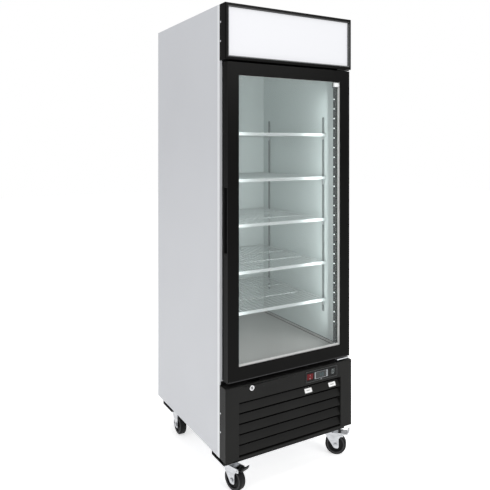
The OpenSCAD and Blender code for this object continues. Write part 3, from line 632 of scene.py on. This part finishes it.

# ---------------------------------------------------------------- grille labels, and painted shade in its slot and behind the louvres

grille_lo, grille_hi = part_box("grille_panel")
LOUVRE_TOP = grille_hi.z - 71 * MM
LOUVRE_DROP = 31 * MM
LOUVRE_SLOPE = 15 * MM
lean = math.atan2(LOUVRE_SLOPE, LOUVRE_DROP)
face_out = Vector((0, -math.cos(lean), math.sin(lean)))
face_up = Vector((0, math.sin(lean), math.cos(lean)))
LOUVRE_GAP = 14 * MM
LOUVRE_INSET = 3 * MM
LABEL_W, LABEL_H, LABEL_T = 40 * MM, 19 * MM, 0.4 * MM
LABEL_AT = {"label_left": 95 * MM, "label_right": 233 * MM}
BAR_W, BAR_H, BAR_T = LABEL_W / 2, LABEL_H / 5, 0.15 * MM
middle_z = LOUVRE_TOP - LOUVRE_GAP - LOUVRE_DROP / 2
middle_y = grille_lo.y + LOUVRE_INSET + LOUVRE_SLOPE / 2


def louvre_plate(x, w, h, radius, low, high):
    """A thin plate with round corners, lying on the top louvre's slope."""
    centre = Vector((x, middle_y, middle_z)) + face_out * 0.05 * MM
    outline = round_rect(-w / 2, w / 2, -h / 2, h / 2, radius, 4)
    verts = [
        centre + Vector((u, 0, 0)) + face_up * v + face_out * depth
        for depth in (low, high)
        for u, v in outline
    ]
    n = len(outline)
    faces = [tuple(range(n)), tuple(range(2 * n - 1, n - 1, -1))]
    faces += [(k, k + n, (k + 1) % n + n, (k + 1) % n) for k in range(n)]
    return verts, faces


for name, x in LABEL_AT.items():
    piece(name, *louvre_plate(x, LABEL_W, LABEL_H, 2 * MM, 0, LABEL_T), label_white, "cabinet")
    grey_bar = louvre_plate(x, BAR_W, BAR_H, 1.5 * MM, LABEL_T / 2, LABEL_T + BAR_T)
    piece(name + "_bar", *grey_bar, label_grey, "cabinet")

# Dark strip that closes the slot between the grille and the front frame; its black is painted shade for that
# deep slot
face_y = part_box("front_frame")[0].y
piece(
    "bay_shade_strip",
    *box_shape(
        (grille_lo.x + 6 * MM, face_y - 0.9 * MM, grille_hi.z - 3 * MM),
        (grille_hi.x - 6 * MM, face_y - 0.1 * MM, door_lo.z - 5 * MM),
    ),
    rubber_and_shade_black,
    "cabinet",
    0.2 * MM,
)

# Painted shade: a pleated black backing behind the louvres, for the deep shade between them
FIELD_X, FIELD_HEIGHT = 279 * MM, 235 * MM
FOLD_COUNT, FOLD_DEPTH, BACKING_T = 45, 1.2 * MM, 3 * MM
backing_y = grille_lo.y + 24.6 * MM
backing_z0, backing_z1 = LOUVRE_TOP - FIELD_HEIGHT, LOUVRE_TOP + 0.5 * MM
folds = []
for k in range(FOLD_COUNT):
    x0 = -FIELD_X + k * 2 * FIELD_X / FOLD_COUNT
    x1 = -FIELD_X + (k + 1) * 2 * FIELD_X / FOLD_COUNT
    fold_y = backing_y + (FOLD_DEPTH if k % 2 else 0)
    folds.append(box_shape((x0, fold_y, backing_z0), (x1, backing_y + BACKING_T, backing_z1)))
piece("louvre_shade_backing", *joined(folds), shade_cloth, "cabinet")

# ---------------------------------------------------------------- controls

bezel_lo, bezel_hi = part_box("control_bezel")
case_lo, case_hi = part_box("controller_case")
display_lo, display_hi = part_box("controller_display")
plate_y = grille_lo.y - 2 * MM
rim_profile = [
    (0.2 * MM, plate_y + 0.4 * MM),
    (0.4 * MM, plate_y - 0.5 * MM),
    (1.4 * MM, plate_y - 0.5 * MM),
    (1.7 * MM, plate_y + 0.4 * MM),
]
piece(
    "bezel_rim",
    *frame_shape(bezel_lo.x, bezel_hi.x, bezel_lo.z, bezel_hi.z, 6 * MM, rim_profile[::-1]),
    rim_grey,
    "cabinet",
)
screws(
    "bezel_screw",
    [((bezel_lo.x + bezel_hi.x) / 2 - 4 * MM, plate_y - 0.1 * MM, bezel_lo.z + 4.5 * MM)],
    (0, -1, 0),
    2.2 * MM,
    "cabinet",
)


def bar(x, z, w, h, y, depth=0.3 * MM):
    """A thin upright mark centred on (x, z), in front of y."""
    return box_shape((x - w / 2, y - depth, z - h / 2), (x + w / 2, y + 0.2 * MM, z + h / 2))


ROCKER_LEAN = 2.7 * MM


def rocker_face(lo, hi, z):
    """The rocker's front at a height: it leans out from its lower to its upper edge."""
    share = (z - lo.z) / (hi.z - lo.z)
    return lo.y + (1 - share) * ROCKER_LEAN


MARK_OFFSET, MARK_T = 7 * MM, 0.3 * MM
LINE_W, LINE_H = 1.3 * MM, 7 * MM
RING_R, RING_W = 3.4 * MM, 1.1 * MM
for body, rocker in (("power_switch", "power_rocker"), ("light_switch", "light_rocker")):
    lo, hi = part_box(rocker)
    x = (lo.x + hi.x) / 2
    middle = (lo.z + hi.z) / 2
    up, down = middle + MARK_OFFSET, middle - MARK_OFFSET
    piece(body + "_line", *bar(x, up, LINE_W, LINE_H, rocker_face(lo, hi, up)), mark_pale, body)
    y0, y1 = rocker_face(lo, hi, down) - MARK_T, rocker_face(lo, hi, down) + MARK_T
    ring = [(RING_W, y1), (RING_W, y0), (0, y0), (0, y1)]
    piece(
        body + "_ring",
        *frame_shape(x - RING_R, x + RING_R, down - RING_R, down + RING_R, RING_R, ring),
        mark_pale,
        body,
    )

# Two digits on the display
SEGMENTS = {"3": "abcdg", "8": "abcdefg"}
DIGIT_W, DIGIT_H, STROKE = 8 * MM, 14 * MM, 1.6 * MM
DIGIT_OFFSET = 7 * MM


def digit_bars(value, x, z, y):
    """The lit bars of one seven-segment digit centred on (x, z)."""
    w, h = DIGIT_W / 2, DIGIT_H / 2
    places = {
        "a": (0, h, 1),
        "b": (w, h / 2, 0),
        "c": (w, -h / 2, 0),
        "d": (0, -h, 1),
        "e": (-w, -h / 2, 0),
        "f": (-w, h / 2, 0),
        "g": (0, 0, 1),
    }
    bars = []
    for key in SEGMENTS[value]:
        dx, dz, flat = places[key]
        size = (DIGIT_W - STROKE, STROKE) if flat else (STROKE, DIGIT_H / 2 - STROKE)
        bars.append(bar(x + dx, z + dz, *size, y, 0.1 * MM))
    return bars


display_x = (display_lo.x + display_hi.x) / 2
display_z = (display_lo.z + display_hi.z) / 2
mask_y = case_lo.y - 0.25 * MM
digits = digit_bars("3", display_x - DIGIT_OFFSET, display_z, mask_y)
digits += digit_bars("8", display_x + DIGIT_OFFSET, display_z, mask_y)
piece("display_digits", *joined(digits), digit_teal, "cabinet")
piece(
    "controller_mask",
    *box_shape(
        (case_lo.x + 6 * MM, mask_y, case_lo.z + 1.6 * MM),
        (case_hi.x - 10 * MM, mask_y + 0.35 * MM, case_hi.z - 0.8 * MM),
    ),
    gloss_black,
    "cabinet",
    0.1 * MM,
)

for body, way in (("key_up", 1), ("key_down", -1)):
    lo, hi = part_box(body)
    x, z = (lo.x + hi.x) / 2, (lo.z + hi.z) / 2
    tip = z + way * 2 * MM
    base = z - way * 1.6 * MM
    corners = [(x - 2 * MM, base), (x + 2 * MM, base), (x, tip)]
    verts = [(u, lo.y - d, v) for d in (-0.1 * MM, 0.15 * MM) for u, v in corners]
    piece(
        body + "_arrow",
        verts,
        [(0, 1, 2), (5, 4, 3), (0, 3, 4, 1), (1, 4, 5, 2), (2, 5, 3, 0)],
        black_plastic,
        body,
    )

# ---------------------------------------------------------------- lamps in the door opening

strip_lo, strip_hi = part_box("led_strips")
LENS_COUNT, LENS_PITCH, LENS_FIRST = 24, 47 * MM, 645 * MM
lens = [(3.6 * MM, -0.6 * MM), (3.6 * MM, 0.3 * MM), (2.9 * MM, 1.3 * MM), (1.5 * MM, 2 * MM)]
lens_y = strip_lo.y + 11 * MM
for side, name in ((-1, "lamp_lenses_left"), (1, "lamp_lenses_right")):
    x = side * (strip_hi.x - 5.9 * MM)
    lenses = [
        turned_shape(lens, (x, lens_y, LENS_FIRST + k * LENS_PITCH), (-side, 0, 0), 16)
        for k in range(LENS_COUNT)
    ]
    piece(name, *joined(lenses), led_lens, "cabinet")
    connector_lo = (side * (strip_hi.x - 9.4 * MM), strip_lo.y + 0.3 * MM, strip_hi.z - 24 * MM)
    connector_hi = (side * (strip_hi.x - 6 * MM), strip_lo.y + 22 * MM, strip_hi.z - 0.3 * MM)
    lo = tuple(min(a, b) for a, b in zip(connector_lo, connector_hi))
    hi = tuple(max(a, b) for a, b in zip(connector_lo, connector_hi))
    piece(name.replace("lenses", "connector"), *box_shape(lo, hi), rim_grey, "cabinet", 0.8 * MM)

# Guard of rings and two cross bars under the evaporator's fan opening
cover_lo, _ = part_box("evaporator_cover")
fan_lo, fan_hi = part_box("evaporator_fan")
hub = ((fan_lo.x + fan_hi.x) / 2, (fan_lo.y + fan_hi.y) / 2)
guard_z0, guard_z1 = cover_lo.z - 6 * MM, cover_lo.z - 0.2 * MM
RING_WIDTH = 2.4
rings = [
    hoop_shape(hub, radius * MM, (radius + RING_WIDTH) * MM, guard_z0, guard_z1)
    for radius in range(6, 112, 8)
]
rings.append(hoop_shape(hub, 106 * MM, 118 * MM, guard_z1 - 1.4 * MM, guard_z1))
for wide, deep in ((112, 3), (3, 112)):
    rings.append(
        box_shape(
            (hub[0] - wide * MM, hub[1] - deep * MM, guard_z1 - 2 * MM),
            (hub[0] + wide * MM, hub[1] + deep * MM, guard_z1 - 0.4 * MM),
        )
    )
piece("evaporator_guard", *joined(rings), liner_paint, "cabinet")

# Dark strips between the floor pan and the side walls, and along the pan's folds
pan_lo, pan_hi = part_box("floor_pan")
strips = []
for side in (-1, 1):
    for x0, x1, z0, z1 in (
        (pan_hi.x - 0.3 * MM, pan_hi.x + 2.6 * MM, pan_lo.z + 1 * MM, pan_hi.z + 1.5 * MM),
        (pan_hi.x - 4 * MM, pan_hi.x - 1.1 * MM, pan_lo.z + 1.4 * MM, pan_lo.z + 3 * MM),
    ):
        xs = sorted((side * x0, side * x1))
        strips.append(box_shape((xs[0], pan_lo.y + 1 * MM, z0), (xs[1], pan_hi.y - 1.4 * MM, z1)))
piece("pan_dark_strips", *joined(strips), rubber_and_shade_black, "cabinet")

# ---------------------------------------------------------------- back, top and hinge fasteners

back_lo, back_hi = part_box("back_panel")
rear_lo, rear_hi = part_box("rear_grille")
INSET = 14 * MM
spots = [
    (side * (back_hi.x - INSET), back_hi.y, back_lo.z + 25 * MM + share * (back_hi.z - back_lo.z - 50 * MM))
    for side in (-1, 1)
    for share in (0, 0.2, 0.4, 0.6, 0.8, 1)
]
screws("back_screws", spots, (0, 1, 0), 4 * MM, "cabinet")
spots = [
    (x, rear_hi.y, z)
    for x in (rear_lo.x + INSET, 0, rear_hi.x - INSET)
    for z in (rear_lo.z + 10 * MM, rear_hi.z - 10 * MM)
]
screws("rear_grille_screws", spots, (0, 1, 0), 4 * MM, "cabinet")

spots = [(hinge_lo.x + dx, hinge_hi.y - 3.1 * MM, hinge_lo.z + 5 * MM) for dx in (12 * MM, 40 * MM)]
screws("hinge_screws", spots, (0, -1, 0), 3.2 * MM, "cabinet")

# ---------------------------------------------------------------- casters

# Which way each caster trails, in degrees from +X
HEADINGS = {"front_left": -72, "front_right": -42, "rear_left": -90, "rear_right": -74}
RACE_Z, RACE_R = 112 * MM, 27 * MM
RACE = [(RACE_R - 1.5 * MM, -0.8 * MM), (RACE_R, 0), (RACE_R - 1.5 * MM, 0.8 * MM)]
BAND_IN, BAND_OUT, BAND_T = 36.5 * MM, 43 * MM, 1 * MM
BAND_FACE = 16.6 * MM
for corner, degrees in HEADINGS.items():
    joint = next(j for j in frame["joints"] if j["name"] == "swivel_" + corner)
    x, y, _ = joint["pos_m"]
    # Painted shade: a black ring at each swivel's race, for the dark gap between its plates
    race = turned_shape(RACE, (x, y, RACE_Z), (0, 0, 1), 40)
    piece("race_shade_ring_" + corner, *race, black_plastic, "swivel_" + corner)

    # A raised band on each side of the wheel, painted a lighter grey as the highlight its flat face catches
    wheel_lo, wheel_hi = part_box("wheel_" + corner)
    middle = (wheel_lo + wheel_hi) / 2
    heading = math.radians(degrees)
    axle = Vector((-math.sin(heading), math.cos(heading), 0))
    turn = Vector((0, 0, 1)).rotation_difference(axle).to_matrix()
    bands = []
    for low in (-BAND_FACE, BAND_FACE - BAND_T):
        verts, faces = hoop_shape((0, 0), BAND_IN, BAND_OUT, low, low + BAND_T)
        bands.append(([middle + turn @ Vector(v) for v in verts], faces))
    piece("wheel_bands_" + corner, *joined(bands), highlight_grey, "wheel_" + corner, 0.3 * MM)

# ---------------------------------------------------------------- floor, light and camera

FLOOR_HALF = 15.0
floor_pale = surface(
    "floor_pale", (0.93, 0.93, 0.93), 0.8, mottle=(0.5, 0.004), grain=(40, 0.02), specular=0.1, glow=0.6
)
corners = [(x * FLOOR_HALF, y * FLOOR_HALF, 0) for x, y in ((-1, -1), (1, -1), (1, 1), (-1, 1))]
mesh = bpy.data.meshes.new("floor")
mesh.from_pydata(corners, [], [(0, 1, 2, 3)])
mesh.materials.append(floor_pale)
floor = bpy.data.objects.new("floor", mesh)
bpy.context.scene.collection.objects.link(floor)

# A soft even world light, seen by the camera as a plain white backdrop
STUDIO_LIGHT = 0.5
world = bpy.data.worlds.new("studio")
bpy.context.scene.world = world
world.use_nodes = True
sky = world.node_tree
studio = sky.nodes["Background"]
studio.inputs["Color"].default_value = (1.0, 1.0, 1.0, 1)
studio.inputs["Strength"].default_value = STUDIO_LIGHT
backdrop = sky.nodes.new("ShaderNodeBackground")
backdrop.inputs["Color"].default_value = (1.0, 1.0, 1.0, 1)
backdrop.inputs["Strength"].default_value = 1.0
seen = sky.nodes.new("ShaderNodeLightPath")
either = sky.nodes.new("ShaderNodeMixShader")
sky.links.new(seen.outputs["Is Camera Ray"], either.inputs["Fac"])
sky.links.new(studio.outputs["Background"], either.inputs[1])
sky.links.new(backdrop.outputs["Background"], either.inputs[2])
sky.links.new(either.outputs["Shader"], sky.nodes["World Output"].inputs["Surface"])


def softbox(name, at, towards, size, watts, colour=(1, 1, 1)):
    """A rectangular area light aimed at a point."""
    data = bpy.data.lights.new(name, "AREA")
    data.shape = "RECTANGLE"
    data.size, data.size_y = size
    data.energy = watts
    data.color = colour
    lamp = bpy.data.objects.new(name, data)
    lamp.location = at
    lamp.rotation_mode = "QUATERNION"
    lamp.rotation_quaternion = (Vector(towards) - Vector(at)).to_track_quat("-Z", "Y")
    bpy.context.scene.collection.objects.link(lamp)


softbox("key", (1.6, -4.2, 3.4), (0, 0, 1.1), (2.6, 2.6), 85)
softbox("left_fill", (-4.0, -1.2, 3.6), (0, 0, 1.4), (2.4, 2.4), 30)
softbox("overhead", (0.0, -0.4, 4.8), (0, 0, 0), (4.0, 4.0), 70)

# The lamp channels' own cold light, as a tall thin softbox behind each
COLD = (0.93, 1.0, 0.99)
LAMP_Z, LAMP_SIZE = 1.18, (0.09, 1.15)
_, liner_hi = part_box("inner_liner")
for name, side, watts in (("cold_light_left", -1, 1.0), ("cold_light_right", 1, 1.5)):
    at = (side * (liner_hi.x - 70 * MM), strip_hi.y + 14 * MM, LAMP_Z)
    softbox(name, at, (0, liner_hi.y, LAMP_Z), LAMP_SIZE, watts, COLD)

# A level camera, turned to look at the cabinet from its front left
LENS, SENSOR = 41.47, 36
CAMERA_AT, CAMERA_TURN, SHIFT_UP = (-1.4616, -2.4893, 1.496), -30.10, -0.2009
camera_data = bpy.data.cameras.new("camera")
camera = bpy.data.objects.new("camera", camera_data)
bpy.context.scene.collection.objects.link(camera)
bpy.context.scene.camera = camera
camera_data.sensor_width = SENSOR
camera_data.lens = LENS
camera_data.shift_y = SHIFT_UP
camera_data.clip_start = 0.05
camera_data.clip_end = 200
camera.location = CAMERA_AT
camera.rotation_euler = (math.radians(90), 0, math.radians(CAMERA_TURN))

bpy.context.scene.view_settings.view_transform = "Standard"
bpy.context.scene.cycles.max_bounces = 8
bpy.context.scene.cycles.transparent_max_bounces = 24
